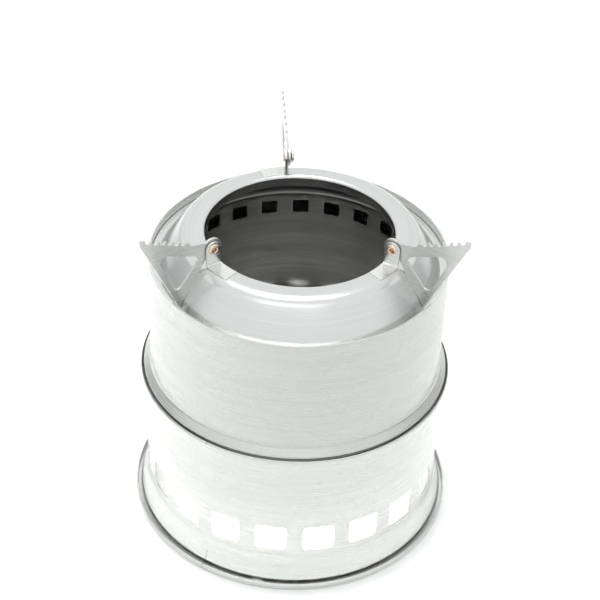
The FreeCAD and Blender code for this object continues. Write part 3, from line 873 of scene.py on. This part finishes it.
def bracketPiece(name, azimuth, side, material):
    # one bent sheet: columns run outwards, rows run from the ear down through the bend along the foot
    builder = bmesh.new()
    roundWeight = builder.verts.layers.float.new("bevel_weight_vert")
    left, right = pivot["radius"] - bracket["ear"], pivot["radius"] + bracket["ear"]
    columns = [left + (right - left) * k / 6 for k in range(7)]
    earFoot = bracket["bottom"] + bracket["bend"]
    hole, rim = [], []
    for k in range(24):                          # hole and outline of the ear, from low left round the top
        angle = radians(225 - 15 * k)
        hole.append((
            pivot["radius"] + bracket["hole"] * cos(angle), pivot["height"] + bracket["hole"] * sin(angle),
        ))
    for k in range(3):
        rim.append((left, earFoot + (pivot["height"] - earFoot) * k / 3))
    for k in range(13):
        angle = radians(180 - 15 * k)
        rim.append((
            pivot["radius"] + bracket["ear"] * cos(angle), pivot["height"] + bracket["ear"] * sin(angle),
        ))
    for k in (2, 1, 0):
        rim.append((right, earFoot + (pivot["height"] - earFoot) * k / 3))
    rim += [(x, earFoot) for x in reversed(columns[1:-1])]
    near = bracket["near"]
    holeVerts = [builder.verts.new((x * mm, side * near * mm, z * mm)) for x, z in hole]
    rimVerts = [builder.verts.new((x * mm, side * near * mm, z * mm)) for x, z in rim]
    for k in range(24):
        j = (k + 1) % 24
        builder.faces.new((rimVerts[k], rimVerts[j], holeVerts[j], holeVerts[k]))
    row = [rimVerts[0]] + list(reversed(rimVerts[19:24])) + [rimVerts[18]]
    bend = bracket["bend"]
    for step in range(1, 6):                     # the bend, then the foot
        angle = pi / 2 * step / 5
        y = near + bend * (1 - cos(angle))
        z = bracket["bottom"] + bend * (1 - sin(angle))
        fresh = [builder.verts.new((x * mm, side * y * mm, z * mm)) for x in columns]
        for k in range(6):
            builder.faces.new((row[k], fresh[k], fresh[k + 1], row[k + 1]))
        row = fresh
    reachOf = [hypot(x, near + bend) for x in columns]
    ends = [bracket["inner"] + (bracket["outer"] - bracket["inner"]) * k / 6 for k in range(7)]
    for step in range(1, 7):
        share = step / 6
        fresh = []
        for x, reach, end in zip(columns, reachOf, ends):
            radius = reach + (end - reach) * min(1, share * 3)
            angle = (1 - share) * asin((near + bend) / reach) + share * radians(bracket["sweep"])
            fresh.append(builder.verts.new(
                (radius * cos(angle) * mm, side * radius * sin(angle) * mm, bracket["bottom"] * mm)
            ))
        for k in range(6):
            builder.faces.new((row[k], fresh[k], fresh[k + 1], row[k + 1]))
        row = fresh
    row[-1][roundWeight] = 1
    row[0][roundWeight] = 0.3
    bmesh.ops.recalc_face_normals(builder, faces=builder.faces)
    builder.faces.ensure_lookup_table()
    if builder.faces[0].normal.y * side > 0:     # the outside of the bend looks at the arm and down
        bmesh.ops.reverse_faces(builder, faces=builder.faces)
    for face in builder.faces:
        face.smooth = True
    mesh = bpy.data.meshes.new(name)
    builder.to_mesh(mesh)
    builder.free()
    piece = newObject(name, mesh, material)
    corner = piece.modifiers.new("cornerCut", "BEVEL")
    corner.affect = "VERTICES"
    corner.limit_method = "WEIGHT"
    corner.width = bracket["cornerCut"] * mm
    corner.segments = 4
    sheet = piece.modifiers.new("sheet", "SOLIDIFY")
    sheet.thickness = bracket["gauge"] * mm
    sheet.offset = -1
    sheet.use_even_offset = True
    cutEdges(piece, 0.14)
    settle(piece, Matrix.Rotation(radians(azimuth), 4, "Z"))
    return piece


def turnedLoop(name, profile, material, steps=48):
    # a closed ring profile, (radius, height, bend) clockwise from the top inside
    mesh = bpy.data.meshes.new(name)
    count = len(profile)
    mesh.from_pydata(
        [(radius * mm, 0, height * mm) for radius, height, bend in profile],
        [(i, (i + 1) % count) for i in range(count)], [],
    )
    widest = max(bend for radius, height, bend in profile)
    weights = mesh.attributes.new("bevel_weight_vert", "FLOAT", "POINT")
    for item, (radius, height, bend) in zip(weights.data, profile):
        item.value = bend / widest
    piece = newObject(name, mesh, material)
    bends = piece.modifiers.new("bends", "BEVEL")
    bends.affect = "VERTICES"
    bends.limit_method = "WEIGHT"
    bends.width = widest * mm
    bends.segments = 4
    turn = piece.modifiers.new("turn", "SCREW")
    turn.steps = steps
    turn.render_steps = steps
    turn.use_normal_calculate = True
    turn.use_merge_vertices = True
    turn.merge_threshold = 1e-6
    return piece


def pointOutwards(piece):
    # a closed shape whose volume comes out negative is inside out
    builder = bmesh.new()
    builder.from_mesh(piece.data)
    if builder.calc_volume(signed=True) < 0:
        bmesh.ops.reverse_faces(builder, faces=builder.faces)
        builder.to_mesh(piece.data)
    builder.free()


armMesh = filledSheet(
    "potArm",
    [armOutline(), roundedOutline(arm["hole"]), circleOutline(pivot["radius"], pivot["height"], arm["bore"])],
    arm["gauge"], arm["edge"],
)
for side, spot in arms.items():
    azimuth, hand = spot["azimuth"], spot["side"]
    title = side.capitalize()
    armSteel = flatSteel(f"armSteel{title}", azimuth, armLook)
    bracketSteel = flatSteel(f"bracketSteel{title}", azimuth, bracketLook)
    rivetMetal = flatSteel(f"rivetMetal{title}", azimuth, rivetLook)

    armPiece = newObject(f"potArm{title}", armMesh.copy(), armSteel)
    settle(armPiece, armPlace(azimuth, hand))
    pointOutwards(armPiece)
    weighted = armPiece.modifiers.new("flatFaces", "WEIGHTED_NORMAL")
    weighted.weight = 100
    finishPiece(armPiece, f"arm_{side}", "arm_steel", f"pot_arm_{side}")

    earPiece = bracketPiece(f"bracket{title}", azimuth, hand, bracketSteel)
    finishPiece(earPiece, "top", "arm_steel", f"bracket_{side}")

    top, tail, depth = rivet["earTop"], rivet["tailTop"], rivet["depth"]
    rivetPiece = turnedLoop(f"rivet{title}", [
        (rivet["bore"], top + depth * 0.7, 0.18), (rivet["bore"] + 0.4, top + depth, 0.25),
        (rivet["head"] - 0.5, top + depth * 0.95, 0.4), (rivet["head"], top + 0.1, 0.2),
        (rivet["head"] - 0.1, top, 0), (rivet["shank"], top, 0),
        (rivet["shank"], tail - washer["gauge"], 0), (rivet["head"] - 0.1, tail - washer["gauge"], 0),
        (rivet["head"], tail - washer["gauge"] - 0.1, 0.2),
        (rivet["head"] - 0.5, tail - washer["gauge"] - depth, 0.4),
        (rivet["bore"], tail - washer["gauge"] - depth, 0.25),
    ], rivetMetal)
    settle(rivetPiece, pivotPlace(azimuth, hand))
    pointOutwards(rivetPiece)
    finishPiece(rivetPiece, "top", "rivet_metal", f"rivet_{side}")

    low = washer["low"] - washer["gauge"]
    washerPiece = turnedLoop(f"washer{title}", [
        (washer["inner"], washer["low"], 0), (washer["outer"], washer["low"], 0.1),
        (washer["outer"], low, 0.1), (washer["inner"], low, 0),
    ], bracketSteel)
    settle(washerPiece, pivotPlace(azimuth, hand))
    pointOutwards(washerPiece)
    finishPiece(washerPiece, "top", "arm_steel", f"washer_{side}")
bpy.data.meshes.remove(armMesh)
print("arms, brackets and rivets built")


# floor, light
floor = {"size": 5.0, "colour": (0.9, 0.905, 0.9)}
floorMesh = bpy.data.meshes.new("floor")
halfFloor = floor["size"] / 2
floorCorners = [(x * halfFloor, y * halfFloor, 0) for x, y in ((-1, -1), (1, -1), (1, 1), (-1, 1))]
floorMesh.from_pydata(floorCorners, [], [(0, 1, 2, 3)])
paper = bpy.data.materials.new("palePaper")
paper.use_nodes = True
paperShader = paper.node_tree.nodes["Principled BSDF"]
paperShader.inputs["Base Color"].default_value = (*floor["colour"], 1)
paperShader.inputs["Roughness"].default_value = 0.9
paperShader.inputs["Specular IOR Level"].default_value = 0.1
floorPiece = newObject("floor", floorMesh, paper)

softLights = {
    "poolBox": {
        "size": (0.5, 0.5), "place": (-0.18, 0.24, 1.2), "aim": (-0.18, 0.24, 0), "power": 0.9, "spread": 45,
    },
    "leftPool": {
        "size": (0.2, 0.2), "place": (-0.3, -0.08, 1.2), "aim": (-0.3, -0.08, 0), "power": 0.05, "spread": 32,
    },
    "rightPool": {
        "size": (0.2, 0.2), "place": (0.27, 0.1, 1.2), "aim": (0.27, 0.1, 0), "power": 0.06, "spread": 35,
    },
    "frontBox": {
        "size": (1.2, 0.6), "place": (-0.12, -0.85, 1.2), "aim": (0, 0, 0.1), "power": 1.1, "spread": 180,
    },
}
for name, light in softLights.items():
    lightData = bpy.data.lights.new(name, "AREA")
    lightData.shape = "RECTANGLE"
    lightData.size, lightData.size_y = light["size"]
    lightData.energy = light["power"]
    lightData.spread = radians(light["spread"])
    lightObject = bpy.data.objects.new(name, lightData)
    sceneRoot.objects.link(lightObject)
    lightObject.location = light["place"]
    beam = Vector(light["aim"]) - Vector(light["place"])
    lightObject.rotation_euler = beam.to_track_quat("-Z", "Y").to_euler()

# a lamp inside the base, so that its windows read as bright openings
baseGlow = {"radius": 48, "height": 60, "power": 0.3}
glowData = bpy.data.lights.new("baseGlow", "AREA")
glowData.shape = "DISK"
glowData.size = 2 * baseGlow["radius"] * mm
glowData.energy = baseGlow["power"]
glowObject = bpy.data.objects.new("baseGlow", glowData)
sceneRoot.objects.link(glowObject)
glowObject.location = (0, 0, baseGlow["height"] * mm)

world = bpy.data.worlds.new("studio")
bpy.context.scene.world = world
world.use_nodes = True
nodes = world.node_tree.nodes
links = world.node_tree.links
nodes.clear()
domeFrame = nodes.new("NodeFrame")
domeFrame.label = "Soft dome, dimmer near the floor"
heading = nodes.new("ShaderNodeTexCoord")
heading.label = "Direction"
heading.location = (-700, 0)
lift = nodes.new("ShaderNodeSeparateXYZ")
lift.label = "How high it looks"
lift.location = (-500, 0)
endwise = nodes.new("ShaderNodeMath")
endwise.label = "Front or rear"
endwise.location = (-500, -160)
endLift = nodes.new("ShaderNodeMath")
endLift.label = "Brighter low down there"
endLift.location = (-300, -100)
dome = nodes.new("ShaderNodeValToRGB")
dome.label = "Floor to ceiling"
dome.location = (-120, 0)
glow = nodes.new("ShaderNodeBackground")
glow.label = "Studio dome"
glow.location = (180, 0)
worldOut = nodes.new("ShaderNodeOutputWorld")
worldOut.label = "World"
worldOut.location = (400, 0)
for node in (heading, lift, endwise, endLift, dome, glow):
    node.parent = domeFrame
endwise.operation = "ABSOLUTE"
endLift.operation = "MULTIPLY_ADD"
endLift.inputs[1].default_value = 0.45
dome.color_ramp.elements[0].position = 0.16
dome.color_ramp.elements[0].color = (0.27, 0.275, 0.285, 1)
dome.color_ramp.elements[1].position = 0.44
dome.color_ramp.elements[1].color = (0.96, 0.98, 0.97, 1)
glow.inputs["Strength"].default_value = 1.1
links.new(heading.outputs["Generated"], lift.inputs[0])
links.new(lift.outputs["Y"], endwise.inputs[0])
links.new(endwise.outputs[0], endLift.inputs[0])
links.new(lift.outputs["Z"], endLift.inputs[2])
links.new(endLift.outputs[0], dome.inputs["Fac"])
links.new(dome.outputs["Color"], glow.inputs["Color"])
links.new(glow.outputs[0], worldOut.inputs["Surface"])
print("floor and light set")
